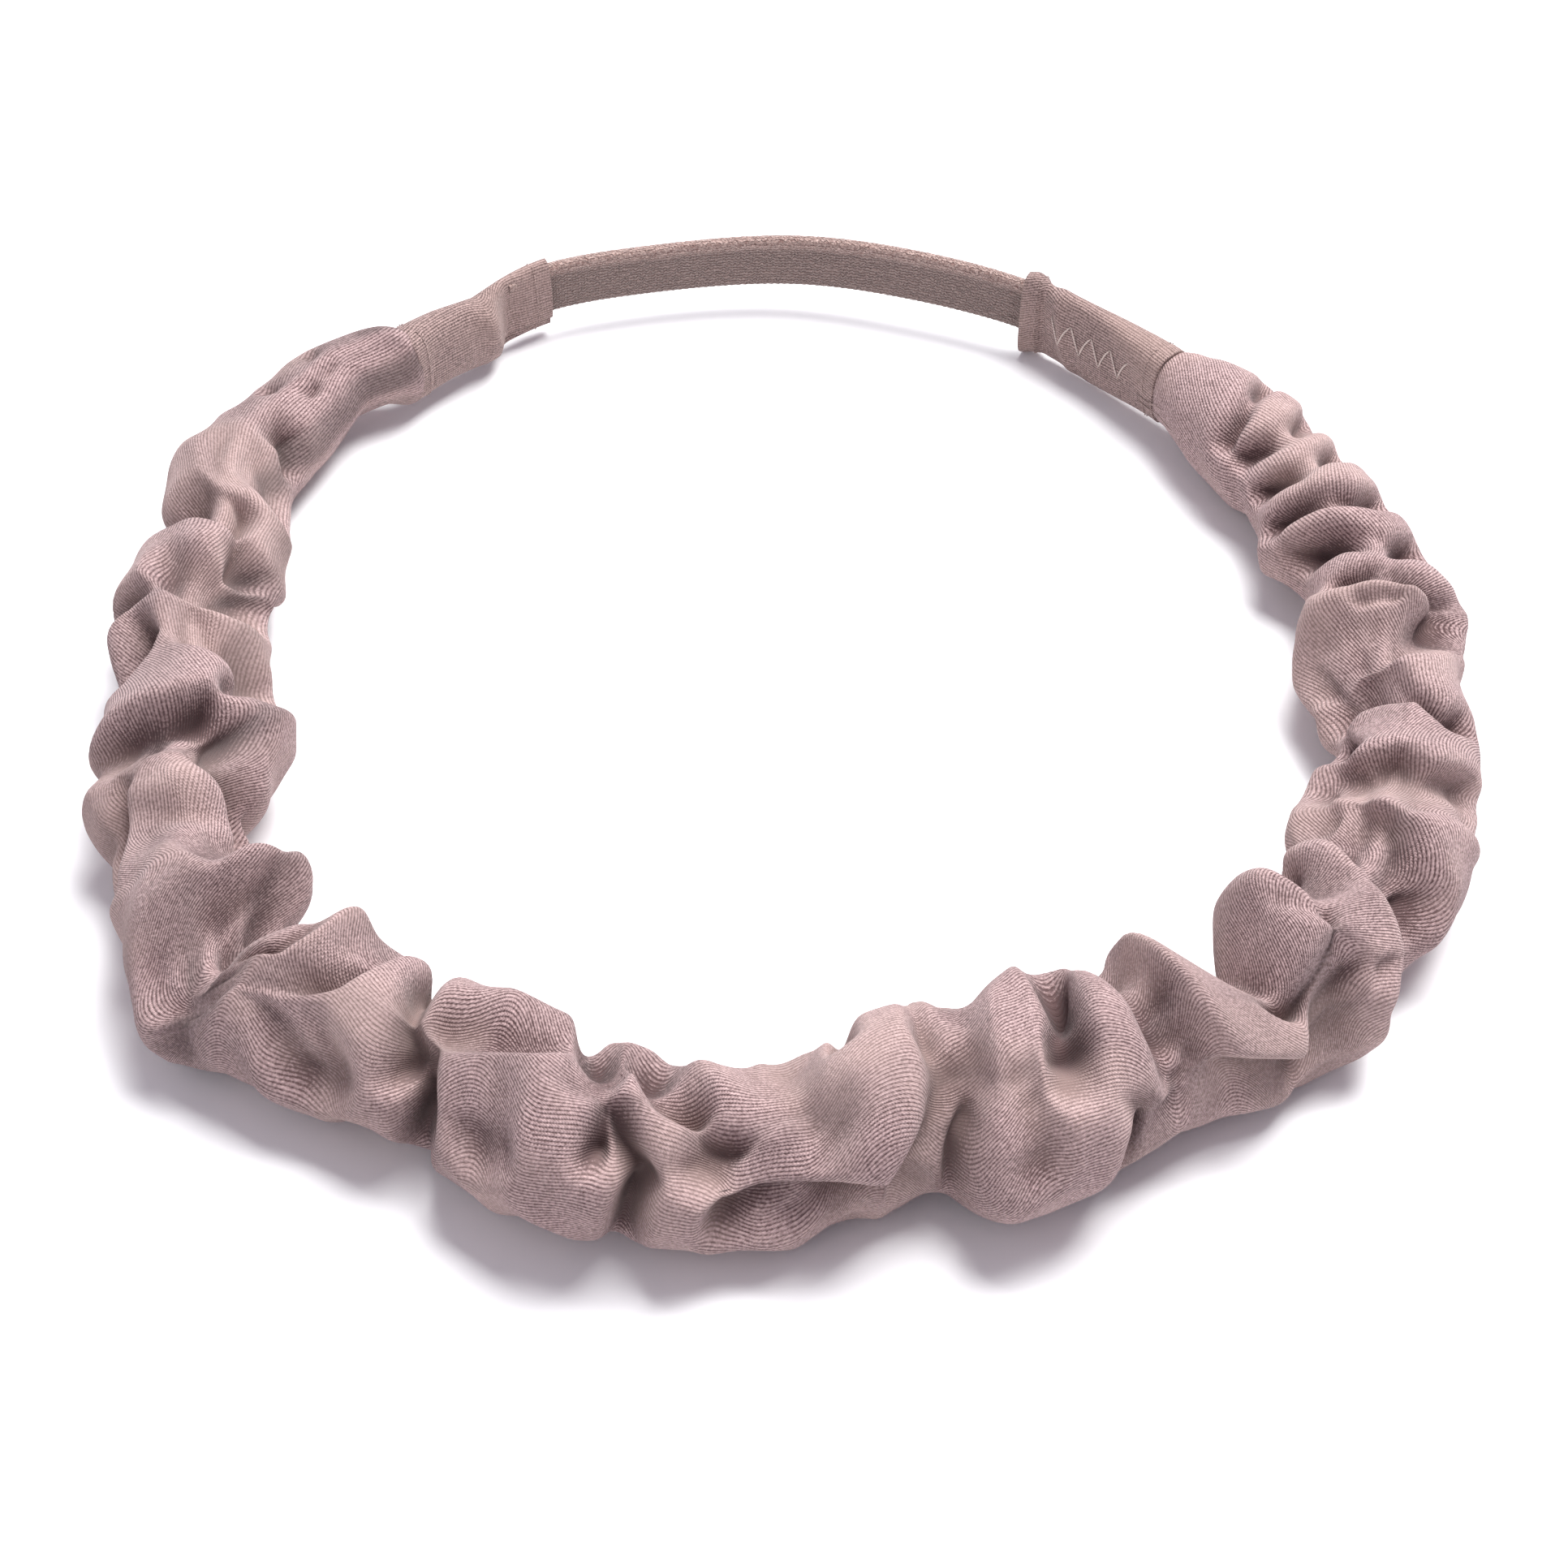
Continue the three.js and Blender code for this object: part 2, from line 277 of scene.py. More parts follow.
def cloth_lengths(points, ease):
    """Lengths of the cloth along and across a closed grid, evened out over nearby cells.

    Both grow from the first ring and the first column; the last column closes the section.
    """
    steps = np.linalg.norm(np.diff(points, axis=0), axis=-1)
    sides = np.linalg.norm(np.roll(points, -1, 1) - points, axis=-1)
    for _ in range(ease):
        for lengths in (steps, sides):
            lengths[1:-1] = 0.25 * (lengths[:-2] + lengths[2:]) + 0.5 * lengths[1:-1]
            lengths[:] = 0.25 * (np.roll(lengths, 1, 1) + np.roll(lengths, -1, 1)) + 0.5 * lengths
    along = np.pad(np.cumsum(steps, 0), ((1, 0), (0, 0)))
    across = np.pad(np.cumsum(sides, 1), ((0, 0), (1, 0)))
    return np.hstack([along, along[:, :1]]), across


def mesh_piece(name, points, faces, uv):
    """A smooth-shaded piece from points in millimetres, with its cloth lengths as UVs."""
    mesh = bpy.data.meshes.new(name)
    mesh.from_pydata((points * MM).tolist(), [], faces)
    layer = mesh.uv_layers.new(name="cloth")
    layer.data.foreach_set("uv", uv.astype(np.float32).ravel())
    mesh.polygons.foreach_set("use_smooth", np.ones(len(mesh.polygons), bool))
    mesh.update()
    piece = bpy.data.objects.new(name, mesh)
    bpy.context.collection.objects.link(piece)
    return piece


def grid_mesh(name, points, ease=0):
    """A tube from a grid of points in millimetres, with the cloth's own lengths as its UVs."""
    rings, columns = points.shape[:2]
    i, j = (index.ravel() for index in
            np.meshgrid(np.arange(rings - 1), np.arange(columns), indexing="ij"))
    after = (j + 1) % columns
    faces = np.stack([i * columns + j, (i + 1) * columns + j,
                      (i + 1) * columns + after, i * columns + after], -1)
    corners = np.stack([i, i + 1, i + 1, i], -1), np.stack([j, j, j + 1, j + 1], -1)
    uv = np.stack([lengths[corners] for lengths in cloth_lengths(points, ease)], -1)
    return mesh_piece(name, points.reshape(-1, 3), faces.tolist(), uv)


def bake_modifiers(piece):
    """Replaces the piece's mesh by what its modifiers make of it."""
    evaluated = piece.evaluated_get(bpy.context.evaluated_depsgraph_get())
    mesh = bpy.data.meshes.new_from_object(evaluated)
    piece.modifiers.clear()
    old = piece.data
    piece.data = mesh
    bpy.data.meshes.remove(old)
    return piece


def thicken(piece, thickness):
    """Gives a sheet its thickness, in millimetres, inwards from its face."""
    solid = piece.modifiers.new("thickness", "SOLIDIFY")
    solid.thickness = thickness * MM
    solid.offset = -1.0
    return bake_modifiers(piece)


def finish_piece(piece, material, slot, *replaced):
    piece.data.materials.clear()
    piece.data.materials.append(material)
    if replaced:
        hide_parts(*replaced)


# ------------------------------------------------------------------------------------- the cover


def flattened(angle, roundness):
    """Offsets across and up on a section that is a circle at roundness 1 and squarer below."""
    return [np.sign(part) * np.abs(part) ** roundness for part in (np.sin(angle), np.cos(angle))]


def cover_form(along):
    """Half thickness and sideways shift of the cover's outline."""
    knots = np.array(COVER_FORM)
    return [np.interp(along, knots[:, 0], knots[:, k]) for k in (1, 2)]


def hidden_valleys(loop):
    """Valleys for the stretches of the cover that face the table and the wearer's head."""
    draw = np.random.default_rng(11)
    valleys = []
    along = SLEEVE_END + 14
    while along < loop.length - SLEEVE_END - 14:
        facing = 180 - 42 * loop.outward(along)[1]
        lean = draw.uniform(-7, 7)
        depth = draw.uniform(2.5, 5)
        valleys.append((draw.uniform(2.4, 4.2), [
            (along - lean, facing - draw.uniform(40, 75), depth * draw.uniform(0.3, 0.8)),
            (along + draw.uniform(-2, 2), facing, depth),
            (along + lean, facing + draw.uniform(40, 75), depth * draw.uniform(0.3, 0.8)),
        ]))
        along += draw.uniform(7, 17)
    return valleys


def run_under(course):
    """A valley that comes down the outer side goes on under the tube, growing shallower."""
    along, angle, depth = course[-1]
    if angle < UNDER_FROM:
        return course
    return course + [(along + 1, UNDER_TO, UNDER_SHARE * depth)]


def nearest_on(course, along, angle):
    """From each place on the cover to a valley's course: the distance, the course's depth there,
    the offsets along and round, and which flank the place is on, from -1 to 1."""
    middle = np.mean([place[1] for place in course])
    turned = (angle - middle + 180) % 360 - 180 + middle
    nearest = np.full(along.shape, 1e6)
    depth, right, across, side = (np.zeros(along.shape) for _ in range(4))
    for (s0, a0, d0), (s1, a1, d1) in zip(course, course[1:]):
        run, turn = s1 - s0, (a1 - a0) * MM_PER_DEGREE
        x, y = along - s0, (turned - a0) * MM_PER_DEGREE
        share = np.clip((x * run + y * turn) / (run ** 2 + turn ** 2), 0, 1)
        x, y = x - share * run, y - share * turn
        away = np.hypot(x, y)
        closer = away < nearest
        nearest = np.where(closer, away, nearest)
        depth = np.where(closer, d0 + (d1 - d0) * share, depth)
        right, across = np.where(closer, x, right), np.where(closer, y, across)
        beyond = (x * turn - y * run) / (math.hypot(run, turn) * (away + 0.3))
        side = np.where(closer, beyond, side)
    return nearest, depth, right, across, side


def fold_field(valleys, along, angle):
    """What the valleys do to the cover: how deep it sinks, how far the cloth beside them puffs
    up, and how far it leans over them, lengthwise and round the section.

    A narrow valley is a slot, a broad one a bowl. Where valleys meet, the deeper mostly rules.
    """
    deep, puff, lean_along, lean_round = (np.zeros(along.shape) for _ in range(4))
    for index, (width, course) in enumerate(valleys):
        nearest, depth, right, across, side = nearest_on(run_under(course), along, angle)
        reach = nearest * (1 + LOPSIDED * math.sin(7.3 * index) * side)
        broad = float(smooth((width - 2.3) / 0.9))
        border = blend_values(1.3, 1.9, broad) * width
        slot = np.exp(-(reach / (0.8 * width)) ** 1.8)
        bowl = np.maximum(1 - (reach / border) ** 2, 0) ** 1.25
        deep += (depth * blend_values(slot, bowl, broad)) ** 3
        crest = np.exp(-((reach - border) / (0.3 * width + 0.4)) ** 2)
        puff = np.maximum(puff, 0.2 * depth * crest)
        beside = np.exp(-((reach - border) / width) ** 2) * np.minimum(nearest / width, 1)
        lean = np.minimum(0.3 * depth, blend_values(0.3, 0.5, broad) * width) * beside
        lean_along -= lean * right / (nearest + 1e-6)
        lean_round -= lean * across / (nearest + 1e-6)
    return deep ** (1 / 3), puff, lean_along, lean_round / MM_PER_DEGREE


def drape(along, degrees):
    """Small sharp-crested ripples between the folds, in millimetres."""
    draw = np.random.default_rng(5)
    angle = np.radians(degrees)
    rise = np.zeros(along.shape)
    for pitch, height in RIPPLES:
        first, second, third, fourth = draw.uniform(0, 2 * math.pi, 4)
        bend = (1.9 * np.sin(angle + first + along / 31) + 1.2 * np.sin(2 * angle + second)
                + 1.5 * np.sin(along / 17 + third))
        crest = 1 - np.abs(np.sin(math.pi * along / pitch + bend))
        present = 0.5 + 0.5 * np.sin(along / 8 + 2 * angle + 1.6 * np.sin(angle + fourth))
        rise += height * (crest ** 1.3 - 0.3) * present
    return rise * blend_values(0.35, 1.0, smooth((np.cos(angle) + 0.95) / 0.7))


def soften(points, rounds):
    """Rounds off the sharpest bends of a grid and keeps its two end rings."""
    for _ in range(rounds):
        mean = 0.5 * (points[:-2] + points[2:])
        points[1:-1] = 0.6 * points[1:-1] + 0.4 * mean
        mean = 0.5 * (np.roll(points, 1, 1) + np.roll(points, -1, 1))
        points[1:-1] = (0.6 * points + 0.4 * mean)[1:-1]
    return points


def band_height(from_sleeve):
    """Height of the inner band's middle over the table."""
    return blend_values(9.6, 11.5, smooth(from_sleeve / 70))


def cover_centre(from_sleeve, radius):
    """Height of the cover's middle, which comes down to the table away from the sleeves."""
    return blend_values(9.8, radius + 0.3, smooth((from_sleeve - 4) / 30))


def folded_reach(along, degrees, radius, free, depth, puff):
    """How far the folded cover reaches from its middle, and the same evened out."""
    most = FOLD_LIMIT * radius
    reach = radius - most * np.tanh(FOLD_SCALE * depth / most) + puff * np.exp(-depth / 2)
    reach += drape(along, degrees) * free * np.minimum(radius / 13, 1) ** 2
    level = soften(reach[..., None].copy(), LEVEL_ROUNDS)[..., 0]
    rise = reach - level
    rounded = CREST_RISE * np.tanh(rise / CREST_RISE)
    sharpened = (1 + FOLD_SHARPNESS * free) * rise
    return level + CREST_FILL * free + np.where(rise > 0, rounded, sharpened), level


def clear_of_band(reach, angle, from_sleeve, centre):
    """Keeps the cover outside the flat band that it holds, away from the sleeves."""
    room = 6.8 + np.cos(angle) * (band_height(from_sleeve) - centre)
    held = 1 / np.hypot(np.sin(angle) / 2.8, np.cos(angle) / np.maximum(room, 3))
    return np.where(from_sleeve > 4, np.maximum(reach, held), reach)


def cover_points(loop):
    """The grid of the cover's outer face, and how deep each point lies in a crease, 0 to 1, which
    sets the painted shade in the creases.
    """
    start = SLEEVE_END - COVER_TUCK
    ring = np.linspace(start, loop.length - start, COVER_RINGS)
    degrees = np.linspace(-180, 180, COVER_COLUMNS, endpoint=False)
    along, degrees = np.meshgrid(ring, degrees, indexing="ij")
    radius, shift = cover_form(along)
    from_sleeve = np.minimum(along, loop.length - along) - SLEEVE_END
    free = smooth((from_sleeve - 0.4) / 4)
    depth, puff, lean_along, lean_round = (
        field * free for field in fold_field(VALLEYS + hidden_valleys(loop), along, degrees))
    reach, level = folded_reach(along, degrees, radius, free, depth, puff)
    angle = np.radians(degrees + lean_round)
    centre = cover_centre(from_sleeve, radius)
    reach = clear_of_band(reach, angle, from_sleeve, centre)
    across, up = flattened(angle, blend_values(0.75, 1.0, free))
    tall = blend_values(1.6, 1.0, free)
    points = loop.place(along + lean_along, shift + reach * across, centre + reach * tall * up)
    points = soften(points, 7)
    points[..., 2] = np.maximum(points[..., 2], TABLE_GAP)
    # How far below its surroundings the cover lies, 0 to 1: the amount of painted shade in its
    # creases.
    painted_shade_amount = np.clip((level - reach) / PAINTED_SHADE_FULL_DEPTH, 0, 1)
    return points, soften(painted_shade_amount[..., None], 3)


def gathered_cover(loop, material):
    points, painted_shade_amount = cover_points(loop)
    piece = grid_mesh("gathered_cover_cloth", points, 60)
    # The crease depths go on the mesh as an attribute, which the jersey turns into painted shade.
    painted_crease_shade = piece.data.attributes.new("painted_crease_shade", "FLOAT", "POINT")
    painted_crease_shade.data.foreach_set("value", painted_shade_amount.ravel())
    thicken(piece, COVER_THICKNESS)
    finish_piece(piece, material, "jersey", "gathered_cover", "cover_seam")
    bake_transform(piece)
    along_cloth, across_cloth = cloth_lengths(points, 0)


# ------------------------------------------------------------------------------------- materials


class Shader:
    """Builds one material's nodes."""

    def __init__(self, name):
        self.material = bpy.data.materials.new(name)
        self.material.use_nodes = True
        self.tree = self.material.node_tree
        self.surface = self.tree.nodes["Principled BSDF"]

    def link(self, value, socket):
        if isinstance(value, (int, float)):
            socket.default_value = value
        elif isinstance(value, tuple):
            socket.default_value = (*value, 1.0)
        else:
            self.tree.links.new(value, socket)

    def node(self, kind, output=0, **inputs):
        node = self.tree.nodes.new(kind)
        for name, value in inputs.items():
            self.link(value, node.inputs[name.replace("_", " ")])
        return node.outputs[output]

    def math(self, operation, first, second=0.0, third=0.0):
        node = self.tree.nodes.new("ShaderNodeMath")
        node.operation = operation
        for socket, value in zip(node.inputs, (first, second, third)):
            self.link(value, socket)
        return node.outputs[0]

    def mix(self, share, first, second):
        node = self.tree.nodes.new("ShaderNodeMix")
        node.data_type = "RGBA"
        colours = [s for s in node.inputs if s.type == "RGBA"]
        self.link(share, node.inputs[0])
        self.link(first, colours[0])
        self.link(second, colours[1])
        return [s for s in node.outputs if s.type == "RGBA"][0]

    def noise(self, scale, detail=2.0, vector=None):
        """Noise that repeats about every 1 / scale metres of the object."""
        if vector is None:
            vector = self.node("ShaderNodeTexCoord", 3)
        return self.node("ShaderNodeTexNoise", 0, Vector=vector, Scale=scale, Detail=detail)

    def cloth_place(self):
        """The cloth's own coordinates in millimetres: lengthwise and crosswise."""
        place = self.tree.nodes.new("ShaderNodeUVMap")
        place.uv_map = "cloth"
        split = self.tree.nodes.new("ShaderNodeSeparateXYZ")
        self.tree.links.new(place.outputs[0], split.inputs[0])
        return split.outputs[0], split.outputs[1]

    def finish(self, colour, height, depth, roughness=0.95, sheen=0.12):
        bump = self.tree.nodes.new("ShaderNodeBump")
        bump.inputs["Distance"].default_value = depth * MM
        self.link(height, bump.inputs["Height"])
        self.link(bump.outputs[0], self.surface.inputs["Normal"])
        self.link(colour, self.surface.inputs["Base Color"])
        self.surface.inputs["Roughness"].default_value = roughness
        self.surface.inputs["Specular IOR Level"].default_value = 0.15
        self.surface.inputs["Sheen Weight"].default_value = sheen
        self.surface.inputs["Sheen Roughness"].default_value = 0.6
        return self.material


def wave(shader, value):
    """0 at whole numbers, 1 half-way between them."""
    turned = shader.math("MULTIPLY", value, 2 * math.pi)
    return shader.math("MULTIPLY_ADD", shader.math("COSINE", turned), -0.5, 0.5)


def clamped(shader, value, low=0.0, high=1.0):
    return shader.math("MINIMUM", shader.math("MAXIMUM", value, low), high)


def knit_material(name, wale, course, dark, light, warm, depth):
    """Single jersey: lengthwise wales of V-shaped stitches, heathered and slightly fuzzy, with
    painted shade in the cover's creases.
    """
    shader = Shader(name)
    lengthwise, crosswise = shader.cloth_place()
    drift = shader.math("MULTIPLY", shader.noise(260.0), 0.5)
    column = shader.math("ADD", shader.math("DIVIDE", crosswise, wale), drift)
    rise = wave(shader, column)
    slant = shader.math("PINGPONG", column, 0.5)
    row = shader.math("ADD", shader.math("DIVIDE", lengthwise, course),
                      shader.math("MULTIPLY_ADD", shader.noise(700.0), 0.6, shader.math(
                          "MULTIPLY", slant, 1.2)))
    stitch = wave(shader, row)
    fibre = shader.noise(5200.0, 5.0)
    height = shader.math("MULTIPLY_ADD", stitch, 0.35, shader.math("POWER", rise, 0.45))
    height = shader.math("MULTIPLY_ADD", fibre, 0.6, height)
    gap = shader.math("POWER", shader.math("SUBTRACT", 1.0, rise), 1.6)
    pit = shader.math("MULTIPLY_ADD", shader.math("SUBTRACT", 1.0, stitch), 0.45, gap)
    heather_and_crease_shade = shader.math("MULTIPLY_ADD", shader.noise(2400.0, 6.0), 1.5, -0.02)
    # Painted shade: the colour is darkened where the crease attribute says the cloth lies deep in a
    # crease.
    painted_crease_shade = shader.tree.nodes.new("ShaderNodeAttribute")
    painted_crease_shade.attribute_name = "painted_crease_shade"
    heather_and_crease_shade = shader.math("MULTIPLY_ADD", painted_crease_shade.outputs["Fac"], -1.1, heather_and_crease_shade)
    shade = clamped(shader, shader.math("MULTIPLY_ADD", pit, -0.5, heather_and_crease_shade))
    colour = shader.mix(shade, dark, light)
    patch = shader.math("MULTIPLY_ADD", shader.noise(45.0, 2.0), 2.2, -1.0)
    return shader.finish(shader.mix(clamped(shader, patch, 0.0, 0.35), colour, warm), height, depth)


def elastic_material(face_rise):
    """Knitted elastic: close zigzag rows on its faces and a soft looped upper edge, coloured
    lighter and speckled.
    """
    shader = Shader("elastic_knit")
    lengthwise, crosswise = shader.cloth_place()
    bent = shader.math("MULTIPLY_ADD", shader.math("PINGPONG", lengthwise, 0.45), 0.5,
                       shader.math("MULTIPLY", shader.noise(1300.0), 1.1))
    row = shader.math("DIVIDE", shader.math("ADD", bent, crosswise), 0.6)
    stitch = wave(shader, shader.math("DIVIDE", lengthwise, 0.5))
    fibre = shader.noise(3600.0, 4.0)
    face = shader.math("MULTIPLY_ADD", stitch, 0.3, wave(shader, row))
    height = shader.math("MULTIPLY_ADD", fibre, 1.6, face)
    from_top = shader.math("ABSOLUTE", shader.math("SUBTRACT", crosswise, face_rise))
    upper = clamped(shader, shader.math("MULTIPLY_ADD", from_top, -0.8, 2.6))
    shade = clamped(shader, shader.math("MULTIPLY_ADD", fibre, 0.9, shader.math(
        "MULTIPLY_ADD", face, 0.32, -0.2)))
    plain = shader.mix(shade, (0.12, 0.078, 0.068), (0.47, 0.34, 0.305))
    speckle = clamped(shader, shader.math("MULTIPLY_ADD", shader.noise(2600.0, 5.0), 2.6, -0.8))
    # The upper edge is coloured lighter than the faces, and speckled.
    lighter_upper_edge = shader.mix(speckle, (0.25, 0.14, 0.12), (0.62, 0.46, 0.41))
    return shader.finish(shader.mix(upper, plain, lighter_upper_edge), height, 0.28, sheen=0.2)


def thread_material(name, dark, light):
    shader = Shader(name)
    lengthwise, crosswise = shader.cloth_place()
    turned = shader.math("MULTIPLY_ADD", lengthwise, 2.2, crosswise)
    twist = wave(shader, turned)
    shade = shader.math("MULTIPLY_ADD", shader.noise(3000.0), 0.4,
                        shader.math("MULTIPLY", twist, 0.6))
    colour = shader.mix(shade, dark, light)
    return shader.finish(colour, twist, 0.08, 0.75, 0.1)


def floor_material():
    shader = Shader("pale_floor")
    grain = shader.noise(40.0)
    colour = shader.mix(grain, (0.94, 0.94, 0.945), (0.96, 0.96, 0.965))
    return shader.finish(colour, grain, 0.02, 0.9, 0.0)


# ------------------------------------------------------------------------- strap, band, sleeves


def flat_section(half_thickness, half_width, columns):
    """Offsets across and up of a flattened closed section that starts at its lower edge."""
    angle = np.linspace(-math.pi, math.pi, columns, endpoint=False)
    across, up = flattened(angle, 0.45)
    return across * half_thickness, up * half_width


def even_columns(points):
    """Spreads the points of each ring evenly along it."""
    rings = []
    for ring in points:
        closed = np.vstack([ring, ring[:1]])
        run = np.concatenate([[0], np.cumsum(np.linalg.norm(np.diff(closed, axis=0), axis=1))])
        target = np.linspace(0, run[-1], len(ring), endpoint=False)
        rings.append(np.stack([np.interp(target, run, closed[:, k]) for k in range(3)], -1))
    return np.array(rings)


def close_ends(piece, rings, columns):
    """Fills the two open ends of a tube of the given grid."""
    mesh = piece.data
    faces = [tuple(face.vertices) for face in mesh.polygons]
    last = (rings - 1) * columns
    ends = [tuple(range(columns)), tuple(range(last + columns - 1, last - 1, -1))]
    lengths = np.zeros(len(mesh.loops) * 2, np.float32)
    mesh.uv_layers["cloth"].data.foreach_get("uv", lengths)
    points = [tuple(vertex.co) for vertex in mesh.vertices]
    mesh.clear_geometry()
    mesh.from_pydata(points, [], faces + ends)
    layer = mesh.uv_layers.get("cloth") or mesh.uv_layers.new(name="cloth")
    extra = np.zeros((2 * columns, 2), np.float32)
    layer.data.foreach_set("uv", np.concatenate([lengths, extra.ravel()]))
    mesh.polygons.foreach_set("use_smooth", np.ones(len(mesh.polygons), bool))
    mesh.update()


def back_elastic(loop):
    half = STRAP_HALF + STRAP_TUCK
    rings, columns = 460, 56
    across, up = flat_section(STRAP_HALF_THICKNESS, STRAP_HALF_WIDTH, columns)
    upper = smooth((up - 2.6) / 1.6)
    lower = smooth((-up - 4.4) / 0.4)
    sections = []
    for s in np.linspace(-half, half, rings):
        loops = np.sin(2 * math.pi * s / 1.15) * np.sin(2 * math.pi * (s / 3.1 + up))
        edge = 0.05 * np.sin(2 * math.pi * s / 1.1) * lower
        swell = 1 + 0.5 * upper + 0.04 * upper * loops
        tilt = 0.03 * up * math.sin(s / 17)
        height = STRAP_CENTRE + up + 0.03 * upper * loops - edge + 0.25 * math.sin(s / 13)
        sections.append(loop.place(np.full(columns, s), across * swell + tilt, height))
    points = even_columns(np.array(sections))
    piece = grid_mesh("back_elastic_strap", points)
    face_rise = cloth_lengths(points, 0)[1][:, -1].mean() / 2
    close_ends(piece, rings, columns)
    finish_piece(piece, elastic_material(face_rise), "elastic", "back_elastic")
    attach(piece, BACK_BODY)


def inner_band(loop, material):
    rings, columns = 300, 40
    across, up = flat_section(BAND_HALF_THICKNESS, BAND_HALF_WIDTH, columns)
    start = SLEEVE_END - BAND_TUCK
    sections = []
    for s in np.linspace(start, loop.length - start, rings):
        height = band_height(min(s, loop.length - s) - SLEEVE_END) + up
        follow = cover_form(s)[1]
        sections.append(loop.place(np.full(columns, s), across + follow, height))
    points = even_columns(np.array(sections))
    piece = grid_mesh("inner_band_knit", points)
    close_ends(piece, rings, columns)
    finish_piece(piece, material, "band_knit", "inner_band")
    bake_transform(piece)


# Each sleeve's outline from the strap's end to the cover's end: upper edge, lower edge, half
# thickness and sideways shift, in millimetres, at the given shares of its length. The side is 1
# for the right sleeve and -1 for the left.
SLEEVE_SHARES = [0, 0.3, 0.5, 0.75, 1]
SLEEVE_FORMS = {
    -1: [(15.6, 15.2, 15.0, 15.8, 16.6), (2.0, 2.0, 1.6, 2.8, 3.0),
         (1.7, 2.0, 2.7, 3.5, 3.9), (0, 0.2, -0.2, 0.4, 0.6)],
    1: [(16.2, 16.2, 16.5, 16.8, 16.9), (1.4, 1.2, 1.2, 2.2, 2.8),
        (1.8, 2.0, 2.5, 3.3, 3.9), (0, 0, 0, 0, 0.4)],
}


def bump(value, centre, width):
    return np.exp(-((value - centre) / width) ** 2)


def sleeve_place(loop, side, share, angle, lift=0.0):
    """A point of a sleeve's outer face. angle runs as on the cover, lift is outwards."""
    top, bottom, thick, shift = (
        np.interp(share, SLEEVE_SHARES, values) for values in SLEEVE_FORMS[side])
    facing = np.maximum(-np.sin(angle), 0)
    if side > 0:
        hem = smooth((0.13 - share) / 0.02)
        top = top + 0.8 * bump(share, 0.06, 0.05) - 0.5 * bump(share, 0.17, 0.04)
        bottom = bottom - 1.1 * bump(share, 0.0, 0.07)
        ridge = 0.9 * bump(share + 0.06 * np.cos(angle), 0.3, 0.05)
        thick = thick + 0.5 * hem - 0.25 * bump(share, 0.15, 0.02)
        shift = shift - facing * (ridge + 1.0 * bump(share, 0.0, 0.08) * (1 - np.cos(angle)) / 2)
    else:
        hem = smooth((share - 0.93) / 0.02)
        ridge = 1.5 * bump(share - 0.05 * np.cos(angle), 0.46, 0.075)
        hollow = 0.9 * bump(share, 0.3, 0.09)
        thick = thick + 0.15 * hem
        shift = shift - facing * (ridge - hollow)
        flap = smooth((0.42 - share) / 0.06) * smooth((-np.cos(angle) - 0.55) / 0.12)
        shift = shift + 1.1 * flap * facing
    sway = 0.25 * np.sin(9 * share + 2 * np.cos(angle) + side)
    across = np.sign(np.sin(angle)) * np.abs(np.sin(angle)) ** 0.7 * (thick + lift)
    up = np.sign(np.cos(angle)) * np.abs(np.cos(angle)) ** 0.75 * ((top - bottom) / 2 + lift)
    along = side * (STRAP_HALF + SLEEVE_LENGTH * share)
    return loop.place(along, across + shift + sway * facing, (top + bottom) / 2 + up)


def end_sleeve(loop, side, material):
    name = "right" if side > 0 else "left"
    rings, columns = 130, 120
    share, angle = np.meshgrid(np.linspace(0, 1.04, rings),
                               np.linspace(-math.pi, math.pi, columns, endpoint=False),
                               indexing="ij")
    points = sleeve_place(loop, side, share, angle)
    if side < 0:
        points = points[::-1]
    piece = grid_mesh(f"{name}_sleeve_knit", points, 6)
    thicken(piece, 0.6)
    finish_piece(piece, material, "sleeve_knit", f"{name}_end_sleeve")
    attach(piece, BACK_BODY)
    size = cloth_lengths(points, 0)


def threads(name, runs, thickness, material, *replaced):
    """Thin threads, each along a run of points in millimetres, as one piece."""
    sides = 8
    points, faces, lengths = [], [], []
    for run in runs:
        run = np.asarray(run, float)
        ahead = np.gradient(run, axis=0)
        ahead /= np.linalg.norm(ahead, axis=1, keepdims=True) + 1e-9
        first = np.cross(ahead, (0.31, 0.17, 0.93))
        first /= np.linalg.norm(first, axis=1, keepdims=True) + 1e-9
        second = np.cross(ahead, first)
        share = np.linspace(0, 1, len(run))
        radius = thickness / 2 * np.sqrt(np.clip(1 - (2 * share - 1) ** 6, 0.05, 1))
        turn = np.linspace(0, 2 * math.pi, sides, endpoint=False)
        ring = (np.cos(turn)[None, :, None] * first[:, None]
                + np.sin(turn)[None, :, None] * second[:, None])
        base = len(points)
        points.extend((run[:, None] + ring * radius[:, None, None]).reshape(-1, 3))
        step = np.concatenate([[0], np.cumsum(np.linalg.norm(np.diff(run, axis=0), axis=1))])
        for i in range(len(run) - 1):
            for j in range(sides):
                k = (j + 1) % sides
                faces.append([base + i * sides + j, base + i * sides + k,
                              base + (i + 1) * sides + k, base + (i + 1) * sides + j])
                v = (j / sides, (j + 1) / sides)
                lengths += [(step[i], v[0]), (step[i], v[1]), (step[i + 1], v[1]),
                            (step[i + 1], v[0])]
        last = base + (len(run) - 1) * sides
        faces.append([base + sides - 1 - j for j in range(sides)])
        faces.append([last + j for j in range(sides)])
        lengths += [(0.0, 0.0)] * (2 * sides)
    piece = mesh_piece(name, np.array(points), faces, np.array(lengths))
    finish_piece(piece, material, "thread", *replaced)
    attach(piece, BACK_BODY)


def stitch(start, end, rise, count=7):
    """One stitch between two places, which arches off the cloth along rise."""
    share = np.linspace(0, 1, count)[:, None]
    return blend_values(np.array(start), np.array(end), share) + rise * np.sin(share * math.pi)


